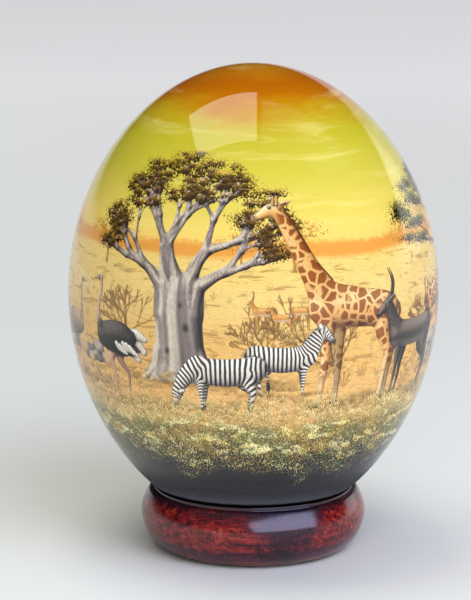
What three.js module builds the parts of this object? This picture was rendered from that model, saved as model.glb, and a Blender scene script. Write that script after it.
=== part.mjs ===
import * as THREE from 'three';

// A decorated ostrich egg standing upright on a turned wooden ring.
// Millimetres, +Z up. The origin is on the ground, under the middle of the ring.

// Egg: one solid of revolution, blunter at the upper end.
const EGG_LENGTH = 160;
const EGG_DIAMETER = 127;
const EGG_BOTTOM_HEIGHT = 7.8;
const EGG_BLUNTNESS = 0.02; // widens the upper half of an ellipse and slims the lower one
const EGG_POLE_TAPER = 0.05; // slims both ends of it
const EGG_RINGS = 36;
const EGG_SEGMENTS = 72;

// Stand: a squat bun with a shoulder, a fine groove, a low lip and a hollowed seat over a through bore.
const STAND_DIAMETER = 77.6;
const BELLY_HEIGHT = 13.2;
const FOOT_DIAMETER = 57.4;
const FLANK_BULGE = 2.4; // how far the belly stays upright above its widest line
const SHOULDER_DIAMETER = 72.8;
const SHOULDER_HEIGHT = 20;
const SHOULDER_ROUNDING = 0.8;
const GROOVE_DIAMETER = 69.5;
const GROOVE_HEIGHT = 20.5;
const LIP_DIAMETER = 69.1;
const LIP_HEIGHT = 21.8;
const SEAT_TOP_HEIGHT = 21.6;
const SEAT_BOTTOM_HEIGHT = 13.6;
const SEAT_GAP = 0.5; // measured level, so that the egg stands clear of the wood by about 0.3
const SEAT_STEPS = 6;
const BORE_CHAMFER = 0.8;
const CURVE_STEPS = 4;
const STAND_SEGMENTS = 72;

const LACQUERED_SHELL = { color: 0xd8a64a, roughness: 0.12, metalness: 0 };
const STAINED_WOOD = { color: 0x6a2419, roughness: 0.3, metalness: 0 };

const eggCentreHeight = EGG_BOTTOM_HEIGHT + EGG_LENGTH / 2;

// The outline of a unit egg: u runs from -1 at the lower pole to 1 at the upper one.
function unitOutline(u) {
  return Math.sqrt(1 - u * u) * (1 + EGG_BLUNTNESS * u - EGG_POLE_TAPER * u * u);
}

// The unit outline is widest where its slope, times sqrt(1 - u * u), passes zero.
function widestPlace() {
  const slope = (u) =>
    (1 - u * u) * (EGG_BLUNTNESS - 2 * EGG_POLE_TAPER * u) -
    u * (1 + EGG_BLUNTNESS * u - EGG_POLE_TAPER * u * u);
  let below = -0.5;
  let above = 0.5;
  while (above - below > 1e-9) {
    const middle = (below + above) / 2;
    if (slope(middle) > 0) below = middle;
    else above = middle;
  }
  return below;
}

const outlineScale = EGG_DIAMETER / 2 / unitOutline(widestPlace());

function eggRadiusAt(height) {
  return outlineScale * unitOutline((height - eggCentreHeight) / (EGG_LENGTH / 2));
}

// Turns a profile of (radius, height) points, drawn upwards on its outside, about the Z axis.
function turned(profile, segments) {
  return new THREE.LatheGeometry(profile, segments).rotateX(Math.PI / 2);
}

function eggGeometry() {
  const profile = [];
  for (let ring = 0; ring <= EGG_RINGS; ring += 1) {
    const height = eggCentreHeight - (EGG_LENGTH / 2) * Math.cos((Math.PI * ring) / EGG_RINGS);
    const atPole = ring === 0 || ring === EGG_RINGS;
    profile.push(new THREE.Vector2(atPole ? 0 : eggRadiusAt(height), height));
  }
  return turned(profile, EGG_SEGMENTS);
}

// The bun's outside: a quarter ellipse from the foot to the belly, a leaning flank and a rounded shoulder.
function drawBun(path) {
  const foot = FOOT_DIAMETER / 2;
  const belly = STAND_DIAMETER / 2;
  const shoulder = SHOULDER_DIAMETER / 2;
  const groove = GROOVE_DIAMETER / 2;
  const crownHeight = SHOULDER_HEIGHT + SHOULDER_ROUNDING;
  path.moveTo(foot, 0);
  path.absellipse(foot, BELLY_HEIGHT, belly - foot, BELLY_HEIGHT, -Math.PI / 2, 0, false);
  path.quadraticCurveTo(belly, BELLY_HEIGHT + FLANK_BULGE, shoulder, SHOULDER_HEIGHT);
  path.quadraticCurveTo(shoulder - SHOULDER_ROUNDING / 2, crownHeight, groove + SHOULDER_ROUNDING / 2, crownHeight);
  path.lineTo(groove, GROOVE_HEIGHT);
}

// A fine groove parts the low rounded lip from the shoulder.
function drawLip(path) {
  const outside = LIP_DIAMETER / 2;
  const seatEdge = eggRadiusAt(SEAT_TOP_HEIGHT) + SEAT_GAP;
  path.lineTo(outside, (GROOVE_HEIGHT + LIP_HEIGHT) / 2);
  path.quadraticCurveTo(outside, LIP_HEIGHT, (outside + seatEdge) / 2, LIP_HEIGHT);
}

// The seat is hollowed to the egg's own curve. Below it the bore runs straight through.
function drawSeatAndBore(path) {
  for (let step = 0; step <= SEAT_STEPS; step += 1) {
    const height = THREE.MathUtils.lerp(SEAT_TOP_HEIGHT, SEAT_BOTTOM_HEIGHT, step / SEAT_STEPS);
    path.lineTo(eggRadiusAt(height) + SEAT_GAP, height);
  }
  const bore = eggRadiusAt(SEAT_BOTTOM_HEIGHT) + SEAT_GAP;
  path.lineTo(bore, BORE_CHAMFER);
  path.lineTo(bore + BORE_CHAMFER, 0);
  path.closePath();
}

function standGeometry() {
  const path = new THREE.Path();
  drawBun(path);
  drawLip(path);
  drawSeatAndBore(path);
  return turned(path.getPoints(CURVE_STEPS), STAND_SEGMENTS);
}

function piece(name, geometry, finish) {
  const mesh = new THREE.Mesh(geometry, new THREE.MeshStandardMaterial(finish));
  mesh.name = name;
  return mesh;
}

const ostrichEgg = new THREE.Group();
ostrichEgg.add(piece('egg', eggGeometry(), LACQUERED_SHELL));
ostrichEgg.add(piece('stand', standGeometry(), STAINED_WOOD));

export default ostrichEgg;
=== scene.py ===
"""A decorated ostrich egg standing on a turned wooden ring."""
import math

import bmesh
import bpy
import numpy as np
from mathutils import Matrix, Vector


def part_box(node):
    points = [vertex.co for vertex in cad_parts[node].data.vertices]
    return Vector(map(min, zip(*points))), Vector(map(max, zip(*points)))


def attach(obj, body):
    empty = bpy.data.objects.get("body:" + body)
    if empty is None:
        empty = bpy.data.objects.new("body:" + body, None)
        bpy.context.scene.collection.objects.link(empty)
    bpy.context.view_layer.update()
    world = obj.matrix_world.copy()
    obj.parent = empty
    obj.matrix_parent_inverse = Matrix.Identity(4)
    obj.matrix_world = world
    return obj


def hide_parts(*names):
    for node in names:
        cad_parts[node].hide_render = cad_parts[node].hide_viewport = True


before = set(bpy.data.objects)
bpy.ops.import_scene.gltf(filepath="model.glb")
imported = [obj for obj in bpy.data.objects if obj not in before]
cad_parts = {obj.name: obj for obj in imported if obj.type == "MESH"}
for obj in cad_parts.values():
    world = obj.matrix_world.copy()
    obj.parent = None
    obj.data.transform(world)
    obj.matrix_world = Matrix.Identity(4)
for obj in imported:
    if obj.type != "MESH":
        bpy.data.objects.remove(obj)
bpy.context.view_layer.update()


# ---------------------------------------------------------------------------
# Camera: a long lens about a metre off, with the egg near the middle of its picture.
# It looks a little down, so that the lip of the ring shows as a thin ellipse.
CAMERA_DISTANCE = 1.0
CAMERA_RISE = math.radians(11.41)
CAMERA_LENS = 174.8
PICTURE_SIDE = 36.0
AIM_SIDE = -0.0061
AIM_HEIGHT = 0.0862

camera_data = bpy.data.cameras.new("camera")
camera_data.lens = CAMERA_LENS
camera_data.sensor_width = PICTURE_SIDE
camera_data.clip_start = 0.01
camera = bpy.data.objects.new("camera", camera_data)
camera.location = (
    AIM_SIDE,
    -CAMERA_DISTANCE * math.cos(CAMERA_RISE),
    AIM_HEIGHT + CAMERA_DISTANCE * math.sin(CAMERA_RISE),
)
camera.rotation_euler = (math.pi / 2 - CAMERA_RISE, 0, 0)
bpy.context.scene.collection.objects.link(camera)
bpy.context.scene.camera = camera
bpy.context.scene.view_settings.view_transform = "Standard"
bpy.context.scene.view_settings.look = "None"


# ---------------------------------------------------------------------------
# Studio: a pale table top in a pale room, under three soft panels that the lacquer mirrors. The
# other lamps here only give light, and gloss doesn't show them.
FLOOR_HALF = 6.0
POOL_MIDDLE = (0.5, -1.25, 0)
WINDOW_WAY = (0.823, 0.514, 0.242)
TALL_WALL_WAY = (0.57, 0.82, 0)
ROOM_STRENGTH = 0.85
CREAM_LIGHT = (0.93, 0.97, 0.84)
SKY_LIGHT = (0.64, 0.72, 1.0)
MM = 1000.0  # in a metre


def paint(code):
    """A screen colour such as "d9a552" as the light it gives back."""
    screen = np.array([int(code[i:i + 2], 16) / 255 for i in (0, 2, 4)])
    return np.where(screen <= 0.04045, screen / 12.92, ((screen + 0.055) / 1.055) ** 2.4)


class Finish:
    """A surface's material, and the nodes it is mixed from."""

    def __init__(self, name, tree=None):
        if tree is None:
            self.material = bpy.data.materials.new(name)
            self.material.use_nodes = True
            tree = self.material.node_tree
            tree.nodes.clear()
        self.tree = tree

    def add(self, kind, sockets=None, **settings):
        """A node with its settings, and its sockets given a value or another node's output."""
        made = self.tree.nodes.new(kind)
        for name, value in settings.items():
            setattr(made, name, value)
        for name, value in (sockets or {}).items():
            if isinstance(value, bpy.types.NodeSocket):
                self.tree.links.new(value, made.inputs[name])
            else:
                made.inputs[name].default_value = value
        return made

    def calc(self, operation, *values):
        """A number worked out from other numbers."""
        return self.add("ShaderNodeMath", dict(enumerate(values)), operation=operation).outputs[0]

    def times(self, first, second):
        """Two numbers multiplied."""
        return self.calc("MULTIPLY", first, second)

    def scaled(self, value, factor, plus):
        """A number times a factor, and something added to it."""
        return self.calc("MULTIPLY_ADD", value, factor, plus)

    def wander(self, value, noise, reach):
        """A number moved up and down by noise, by up to half of reach."""
        return self.scaled(self.calc("SUBTRACT", noise, 0.5), reach, value)

    def vector(self, operation, *values):
        """A place worked out from other places."""
        return self.add("ShaderNodeVectorMath", dict(enumerate(values)), operation=operation).outputs[0]

    def gauge(self, operation, *values):
        """A number worked out from places, such as how far apart two of them are."""
        made = self.add("ShaderNodeVectorMath", dict(enumerate(values)), operation=operation)
        return made.outputs["Value"]

    def stretch(self, place, x, y, z):
        """A place with its three measures scaled."""
        return self.vector("MULTIPLY", place, (x, y, z))

    def ramp(self, value, low, high, smooth=True):
        """From 0 where a value is low to 1 where it is high."""
        kind = "SMOOTHSTEP" if smooth else "LINEAR"
        sockets = {"Value": value, "From Min": low, "From Max": high}
        return self.add("ShaderNodeMapRange", sockets, interpolation_type=kind).outputs[0]

    def band(self, value, low, first, last, high):
        """From 0 at low to 1 between first and last, and back to 0 at high."""
        return self.times(self.ramp(value, low, first), self.ramp(value, high, last))

    def noise(self, place, scale, detail=2.0, roughness=0.5, bend=0.0):
        """Cloudy noise between 0 and 1."""
        sockets = {"Vector": place, "Scale": scale, "Detail": detail, "Roughness": roughness}
        return self.add("ShaderNodeTexNoise", {**sockets, "Distortion": bend}).outputs[0]

    def shift(self, place, scale, reach):
        """A place moved about by noise, by up to half of reach."""
        noise = self.add("ShaderNodeTexNoise", {"Vector": place, "Scale": scale, "Detail": 1.0}).outputs[1]
        centred = self.vector("ADD", noise, (-0.5, -0.5, -0.5))
        return self.vector("MULTIPLY_ADD", centred, (reach, reach, reach), place)

    def mix(self, amount, under, over, how="MIX"):
        """One colour over another. A colour is a node's output or a screen colour."""
        under, over = ((*paint(c), 1.0) if isinstance(c, str) else c for c in (under, over))
        sockets = {0: amount, 6: under, 7: over}
        return self.add("ShaderNodeMix", sockets, data_type="RGBA", blend_type=how).outputs[2]

    def stain(self, under, over, value, low, high, strength=1.0):
        """One colour over another where a value nears high, up to a strength."""
        return self.mix(self.times(self.ramp(value, low, high), strength), under, over)

    def dim(self, colour, value):
        """A colour times a number."""
        return self.add("ShaderNodeVectorMath", {0: colour, "Scale": value}, operation="SCALE").outputs[0]

    def steps(self, value, low, high, stops):
        """A run of screen colours along a value."""
        made = self.add("ShaderNodeValToRGB", {0: self.ramp(value, low, high, False)})
        band = made.color_ramp
        while len(band.elements) < len(stops):
            band.elements.new(0.5)
        for element, (at, code) in zip(band.elements, stops):
            element.position = (at - low) / (high - low)
            element.color = (*paint(code), 1.0)
        return made.outputs[0]

    def finish(self, **sockets):
        """The surface itself, and the material that it makes."""
        named = {name.replace("_", " "): value for name, value in sockets.items()}
        shader = self.add("ShaderNodeBsdfPrincipled", named)
        self.add("ShaderNodeOutputMaterial", {"Surface": shader.outputs[0]})
        return self.material


def lamp(name, place, target, width, height, power, colour=(1, 1, 1), mirrored=True):
    """A soft box turned towards its target, width by height. Gloss shows it where it is mirrored."""
    data = bpy.data.lights.new(name, "AREA")
    data.shape = "RECTANGLE"
    data.size, data.size_y = width, height
    data.energy = power
    data.color = colour
    made = bpy.data.objects.new(name, data)
    made.location = place
    made.rotation_euler = (Vector(target) - Vector(place)).to_track_quat("-Z", "Y").to_euler()
    made.visible_glossy = mirrored
    bpy.context.scene.collection.objects.link(made)
    return made


def put_down(name, form):
    """Makes a piece of a finished form and puts it in the scene."""
    mesh = bpy.data.meshes.new(name)
    form.to_mesh(mesh)
    form.free()
    made = bpy.data.objects.new(name, mesh)
    bpy.context.scene.collection.objects.link(made)
    return made


floor_form = bmesh.new()
bmesh.ops.create_grid(floor_form, x_segments=1, y_segments=1, size=FLOOR_HALF)
floor = put_down("floor", floor_form)
table = Finish("pale_table")
table_spot = table.add("ShaderNodeTexCoord").outputs["Object"]
table_grain = table.noise(table_spot, 4.0, 4.0)
table_colour = table.mix(table_grain, "e6e7e6", "eeeeec")
# The table glows a little, for the light of the rest of the room. It glows less where a lamp pools.
distance = table.gauge("LENGTH", table.stretch(table_spot, 1.5, 1, 1))
glow = table.steps(distance, 0.0, 5.5, (
    (0.045, "000000"), (0.10, "5e5e5c"), (0.4, "686869"), (1.3, "b8b8ba"), (5.0, "cacacc")))
from_pool = table.gauge("DISTANCE", table_spot, POOL_MIDDLE)
glow = table.dim(glow, table.scaled(table.ramp(from_pool, 0.3, 1.7), 0.7, 0.3))
floor.data.materials.append(table.finish(
    Base_Color=table_colour, Roughness=0.6, Specular_IOR_Level=0.2, Emission_Color=glow,
    Emission_Strength=1.0))

world = bpy.data.worlds.new("studio")
world.use_nodes = True
room = Finish("", world.node_tree)
toward = room.add("ShaderNodeTexCoord").outputs["Generated"]
tall_wall = room.gauge("DOT_PRODUCT", toward, TALL_WALL_WAY)
window = room.gauge("DOT_PRODUCT", toward, WINDOW_WAY)
toward_parts = room.add("ShaderNodeSeparateXYZ", {0: toward}).outputs
upper = room.stain("26272a", "8c8d91", toward_parts[1], 0.1, -0.6)
wall_top = room.scaled(room.ramp(tall_wall, 0.80, 0.97), -0.36, toward_parts[2])
walls = room.stain("e9e9ec", upper, wall_top, 0.04, 0.16)
walls = room.dim(walls, room.scaled(room.ramp(window, 0.90, 0.975), 1.4, 1.0))
backdrop = world.node_tree.nodes["Background"].inputs
backdrop["Strength"].default_value = ROOM_STRENGTH
world.node_tree.links.new(walls, backdrop["Color"])
bpy.context.scene.world = world

lamp("left_panel", (-0.294, 0.06, 1.10), (-0.294, 0.06, 0), 0.65, 0.68, 4.6, CREAM_LIGHT)
lamp("left_skirt", (-0.294, -0.41, 1.10), (-0.294, -0.41, 0), 0.65, 0.26, 0.15, CREAM_LIGHT)
lamp("right_panel", (0.66, -0.08, 1.10), (0.66, -0.08, 0), 1.16, 0.66, 0.95)
lamp("right_window", (0.70, -0.88, 1.10), (0.55, -0.6, 0), 1.2, 0.94, 13.5, SKY_LIGHT, mirrored=False)
lamp("front_fill", (0.63, -1.65, 0.95), (0, 0, 0.1), 2.1, 1.5, 25.5, (1.0, 0.98, 0.93), mirrored=False)
lamp("left_wall", (-1.05, 0.72, 0.28), (0, 0, 0.09), 0.7, 0.6, 1.5, mirrored=False)


# ---------------------------------------------------------------------------
# Egg: one ostrich eggshell, blunter at the top, painted all round with a savanna at sunset and
# covered with a thick clear gloss lacquer. It only rests in the ring.
EGG_BLUNTNESS = 0.02
EGG_POLE_TAPER = 0.05
UNPAINTED = -60.0  # the depth of a spot far outside every motif, in mm
BELOW_FOOT = 4.0  # how far the paint of a motif may reach below its foot
FAR = 1e3

egg_low, egg_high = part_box("egg")
EGG_MIDDLE = (egg_low.z + egg_high.z) / 2 * MM
EGG_HALF = (egg_high.z - egg_low.z) / 2 * MM
EGG_WIDEST = max(egg_high.x, egg_high.y) * MM


def fullness(u):
    """How an ellipse is swollen at u, from -1 at the lower pole to 1 at the upper one."""
    return 1 + EGG_BLUNTNESS * u - EGG_POLE_TAPER * u * u


WAY = np.linspace(-1, 1, 4001)
OUTLINE = np.sqrt(1 - WAY * WAY) * fullness(WAY)
SCALE = EGG_WIDEST / OUTLINE.max()
OUTLINE *= SCALE
UP_THE_SIDE = np.concatenate([[0], np.cumsum(np.hypot(np.diff(OUTLINE), np.diff(WAY) * EGG_HALF))])


def on_shell(ball):
    """Points of a unit ball, moved on to the shell, in mm."""
    u = ball[:, 2]
    side = SCALE * fullness(u)
    return np.stack([ball[:, 0] * side, ball[:, 1] * side, EGG_MIDDLE + EGG_HALF * u], -1)


def shell_normals(ball):
    """The shell's outward directions at those points."""
    u = np.clip(ball[:, 2], -0.999999, 0.999999)
    around = np.sqrt(1 - u * u)
    swelling = EGG_BLUNTNESS - 2 * EGG_POLE_TAPER * u
    slope = SCALE * (-u / around * fullness(u) + around * swelling) / EGG_HALF
    flat = ball[:, :2] / np.maximum(np.hypot(ball[:, 0], ball[:, 1]), 1e-9)[:, None]
    normal = np.concatenate([flat, -slope[:, None]], axis=1)
    return normal / np.linalg.norm(normal, axis=1)[:, None]


def way_up(height):
    """The distance up the shell's side of a height, in mm."""
    return np.interp((height - EGG_MIDDLE) / EGG_HALF, WAY, UP_THE_SIDE)


class Shell:
    """The spots of the shell, and the paint they have so far."""

    def __init__(self, ball):
        place = on_shell(ball)
        self.turn = np.arctan2(place[:, 0], -place[:, 1])
        self.radius = np.hypot(place[:, 0], place[:, 1])
        self.up = way_up(place[:, 2])
        count = len(ball)
        self.near_edge = np.full(count, FAR)
        self.wood, self.leaves, self.herd = (np.tile((0, 0, 0, UNPAINTED), (count, 1)) for _ in range(3))
        self.coat = np.zeros((count, 3))
        self.figure = np.zeros((count, 3))
        self.shade = np.zeros(count)
        self.straw = np.zeros(count)

    def around(self, bearing, foot, width, height, flip=False):
        """The spots near a motif, with how far they lie across and up from its foot."""
        across = self.turn - math.radians(bearing)
        across = (across + math.pi) % (2 * math.pi) - math.pi
        across = across * self.radius * (-1 if flip else 1)
        up = self.up - way_up(foot)
        near = np.nonzero((np.abs(across) < width) & (up > -BELOW_FOOT) & (up < height))[0]
        return near, across[near], up[near]

    def cover(self, layer, near, rgb, depth, dim=0.8):
        """Lays paint on one layer where it is inside, or nearer than what was there."""
        old = layer[near, 3]
        rim = ramp(-depth, 0.6, 0.2) * (depth < 0) * (old > 0)
        layer[near, :3] *= (1 - dim * rim)[:, None]
        takes = (depth > 0) | (depth >= old)
        layer[near[takes], :3] = rgb[takes]
        layer[near, 3] = np.maximum(old, depth)
        self.straw[near[depth > 0]] = 0
        return takes


# The picture is painted in limbs: tapering strokes that swell, join and shade as a brush would.
PAINTED_LIGHT = np.array([-0.47, 0.58, 0.56])
PAINTED_LIGHT /= np.linalg.norm(PAINTED_LIGHT)
PLAIN_COAT = (0, 0, 0)  # how strong the patches and the stripes are, and the count of stripes
EDGE_SHADOW = 0.9  # how far the dark line round a shape reaches, in mm
LOWEST_BOUGH = 0.18  # the least slope of a bough, in radians
CROOKEDNESS = 0.13
THREE_FORKS = 0.45  # how often a bough forks in three


def smooth_path(points, steps=4):
    """A round course through points of (x, y, radius)."""
    p = np.array(points, float)
    if len(p) < 3:
        return p
    p = np.vstack([2 * p[0] - p[1], p, 2 * p[-1] - p[-2]])
    course = []
    for a, b, c, d in zip(p[:-3], p[1:-2], p[2:-1], p[3:]):
        for t in np.arange(steps) / steps:
            course.append(0.5 * (2 * b + (c - a) * t + (2 * a - 5 * b + 4 * c - d) * t * t
                                 + (3 * b - a - 3 * c + d) * t ** 3))
    course.append(p[-2])
    course = np.array(course)
    course[:, 2] = np.maximum(course[:, 2], 1e-3)
    return course


def limb(x, y, points, steps=4):
    """Depth inside a tapering limb, its slope across and up, and the way along it and off its middle."""
    path = smooth_path(points, steps)
    depth = np.full(x.shape, -FAR)
    slope_x, slope_y, along, across = (np.zeros(x.shape) for _ in range(4))
    travelled = 0.0
    for (ax, ay, ar), (bx, by, br) in zip(path[:-1], path[1:]):
        dx, dy = bx - ax, by - ay
        length = math.hypot(dx, dy) or 1e-6
        t = np.clip(((x - ax) * dx + (y - ay) * dy) / length ** 2, 0, 1)
        r = ar + (br - ar) * t
        off_x, off_y = x - ax - t * dx, y - ay - t * dy
        d = r - np.hypot(off_x, off_y)
        better = d > depth
        depth = np.where(better, d, depth)
        slope_x = np.where(better, off_x / r, slope_x)
        slope_y = np.where(better, off_y / r, slope_y)
        along = np.where(better, travelled + t * length, along)
        across = np.where(better, (off_x * dy - off_y * dx) / length / r, across)
        travelled += length
    return depth, slope_x, slope_y, along, across


def melt(parts, soft):
    """Several limbs as one body: soft is how far their joins round out."""
    depths = np.array([p[0] for p in parts])
    top = depths.max(axis=0)
    weights = np.exp(np.clip((depths - top) / soft, -60, 0))
    total = weights.sum(axis=0)
    mixed = [(weights * np.array([p[i] for p in parts])).sum(axis=0) / total for i in (1, 2)]
    return top + soft * np.log(total), mixed[0], mixed[1], weights / total


def tone(slope_x, slope_y, flatness=1.0):
    """How squarely the paint faces the light, from -1 to 1."""
    nx, ny = slope_x * flatness, slope_y * flatness
    nz = np.sqrt(np.clip(1 - nx * nx - ny * ny, 0.02, 1))
    n = np.sqrt(nx * nx + ny * ny + nz * nz)
    return (nx * PAINTED_LIGHT[0] + ny * PAINTED_LIGHT[1] + nz * PAINTED_LIGHT[2]) / n


def ramp(value, low, high):
    """From 0 where a value is low to 1 where it is high."""
    t = np.clip((value - low) / (high - low), 0, 1)
    return t * t * (3 - 2 * t)


def blend(a, b, amount):
    """One colour turned into another by an amount."""
    return a + (b - a) * np.asarray(amount)[..., None]


def shaded(light, dark, middle, bright):
    """Three paints laid by how the light falls."""
    rgb = blend(np.broadcast_to(paint(dark), light.shape + (3,)), paint(middle), ramp(light, -0.25, 0.55))
    return blend(rgb, paint(bright), ramp(light, 0.5, 1.0))


class Figure:
    """The paint of one motif on the spots near it. Its places and radii are shares of its size."""

    def __init__(self, x, y, size=1.0):
        self.x, self.y, self.size = x / size, y / size, size
        self.depth = np.full(x.shape, -FAR)
        self.edge = np.full(x.shape, FAR)
        self.rgb = np.zeros(x.shape + (3,))
        self.coat = np.zeros(x.shape + (3,))

    def limb(self, *points):
        """A limb through points of (x, y, radius)."""
        return limb(self.x, self.y, points)

    def lay(self, depth, rgb, coat=PLAIN_COAT, shadow=0.45):
        """Lays a shape over what is there, with a soft dark line round it where it covers paint."""
        depth = depth * self.size
        under = ramp(-depth, EDGE_SHADOW, 0.0) * (depth < 0) * (self.depth > 0)
        self.rgb *= (1 - shadow * under)[..., None]
        takes = (depth > 0) | (depth >= self.depth)
        self.rgb = np.where(takes[..., None], rgb, self.rgb)
        full = np.stack([np.broadcast_to(np.asarray(c, float), depth.shape) for c in coat], -1)
        self.coat = np.where(takes[..., None], full, self.coat)
        self.depth = np.maximum(self.depth, depth)
        self.edge = np.minimum(self.edge, np.abs(depth))

    def brush(self, shape, paints, dim=1.0, flatness=1.0, **manner):
        """Lays a shape in three paints, by how the light falls on it."""
        self.lay(shape[0], shaded(tone(*shape[1:3], flatness), *paints) * dim, **manner)

    def stroke(self, paints, *points, **manner):
        """Lays one limb in three paints."""
        self.brush(self.limb(*points), paints, **manner)

    def touch(self, depth, colour, softness=0.35, strength=1.0):
        """A touch of colour on paint already there."""
        depth = depth * self.size
        amount = ramp(depth, -softness, softness) * strength
        self.rgb = blend(self.rgb, paint(colour), amount)
        self.coat *= (1 - amount)[..., None]
        self.edge = np.minimum(self.edge, np.abs(depth))

    def dot(self, x, y, radius, colour, softness, strength=1.0, wide=1.0, tall=1.0):
        """A round dab of colour, or one squeezed across or upwards."""
        away = np.hypot((self.x - x) * wide, (self.y - y) * tall)
        self.touch(radius - away, colour, softness, strength)


def leg(points, shift=0, lead=0):
    """A leg moved along by shift and its foot by lead. A point is (x, y, radius, its share of the lead)."""
    return [(x + shift + lead * share, y, radius) for x, y, radius, share in points]


GIRAFFE_LEGS = (
    ((-0.15, 0.46, 0.05, 0), (-0.165, 0.3, 0.027, 1), (-0.163, 0.235, 0.024, 1), (-0.17, 0.1, 0.0135, 1.6),
     (-0.172, 0.03, 0.0145, 1.8), (-0.18, 0.008, 0.017, 1.8)),
    ((0.165, 0.42, 0.066, 0), (0.15, 0.335, 0.043, 0), (0.185, 0.235, 0.023, -1), (0.172, 0.13, 0.014, -1),
     (0.165, 0.035, 0.0145, -1), (0.157, 0.008, 0.017, -1)))


def giraffe(x, y, size):
    """A giraffe that looks to the left, size mm high at the crown."""
    f = Figure(x, y, size)

    def coated(shape, dim=1.0, patch=1.0):
        """The hide, paler down the legs, and how strongly its patches show."""
        light = tone(*shape[1:3], 0.95)
        rgb = blend(shaded(light, "6f4526", "dca660", "f8dda0") * dim,
                    shaded(light, "8a6a48", "e2c190", "f6e4bf") * dim, ramp(f.y, 0.22, 0.05) * 0.7)
        return rgb, (patch * (1 - ramp(f.y, 0.2, 0.08)), 0, 0)

    for points in GIRAFFE_LEGS:
        far_leg = f.limb(*leg(points, 0.045, 0.02))
        f.lay(far_leg[0], *coated(far_leg, 0.5, 0.8))
    tail = f.limb((0.232, 0.46, 0.009), (0.262, 0.38, 0.006), (0.258, 0.3, 0.005))
    f.lay(tail[0], coated(tail, 0.8, 0)[0])
    f.stroke(("140c08", "2a1a10", "4d3322"),
             (0.258, 0.3, 0.006), (0.262, 0.26, 0.011), (0.256, 0.215, 0.004))
    f.stroke(("3a1d0e", "7d4420", "b0682f"),
             (-0.318, 0.955, 0.012), (-0.272, 0.85, 0.014), (-0.208, 0.70, 0.015), (-0.13, 0.6, 0.012))
    hide = melt([
        f.limb((-0.165, 0.475, 0.082), (-0.02, 0.468, 0.09), (0.12, 0.452, 0.084), (0.19, 0.45, 0.062)),
        f.limb((-0.13, 0.545, 0.045), (-0.02, 0.53, 0.03)),
        f.limb((-0.165, 0.52, 0.075), (-0.235, 0.67, 0.05), (-0.295, 0.82, 0.036), (-0.33, 0.925, 0.028)),
        *(f.limb(*leg(points)) for points in GIRAFFE_LEGS),
        f.limb(
            (-0.332, 0.94, 0.03), (-0.375, 0.93, 0.027), (-0.425, 0.905, 0.0165), (-0.447, 0.897, 0.015)),
    ], 0.012)
    rgb, coat = coated(hide)
    face = ramp(-f.x, 0.325, 0.36) * ramp(f.y, 0.86, 0.88)
    f.lay(hide[0], rgb, (coat[0] * (1 - face), 0, 0))
    f.dot(-0.448, 0.896, 0.02, "8d6f58", 0.5, 0.8, tall=1.2)
    f.dot(-0.447, 0.903, 0.0035, "2a1a12", 0.1)
    mouth = f.limb((-0.452, 0.889, 0.0012), (-0.43, 0.893, 0.0016), (-0.412, 0.897, 0.0012))
    f.touch(mouth[0], "3c2418", 0.12)
    f.stroke(("6b4326", "c98f56", "f3cf9a"),
             (-0.318, 0.952, 0.011), (-0.29, 0.968, 0.0115), (-0.262, 0.975, 0.003))
    f.touch(f.limb((-0.312, 0.957, 0.004), (-0.285, 0.968, 0.004))[0], "55341f", 0.15)
    for at in (-0.345, -0.328):
        f.stroke(("4b2c18", "b07b48", "e6bd86"),
                 (at, 0.962, 0.0085), (at + 0.008, 0.992, 0.0062), (at + 0.012, 1.008, 0.009))
        f.dot(at + 0.012, 1.01, 0.0085, "23130b", 0.2)
    f.dot(-0.366, 0.947, 0.0095, "3a2213", 0.2, 0.8, wide=0.8)
    f.dot(-0.367, 0.947, 0.0062, "0c0705", 0.12, wide=0.9)
    f.dot(-0.369, 0.950, 0.0020, "ffffff", 0.12)
    for hoof in (-0.183, 0.157, -0.1, 0.185):
        f.dot(hoof, 0.006, 0.017, "3b2a20", 0.25, tall=1.1)
    return f


ZEBRA_FORE = ((-0.40, 0.66, 0.10, 0), (-0.42, 0.42, 0.056, 1), (-0.42, 0.34, 0.045, 1),
              (-0.425, 0.14, 0.027, 1.4), (-0.43, 0.06, 0.032, 1.5), (-0.45, 0.02, 0.036, 1.5))
ZEBRA_HIND = ((0.42, 0.70, 0.17, 0), (0.40, 0.5, 0.105, 0), (0.485, 0.35, 0.052, -1),
              (0.455, 0.16, 0.03, -1), (0.445, 0.06, 0.033, -1), (0.425, 0.02, 0.036, -1))
ZEBRA_PITCH = 0.078


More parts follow.
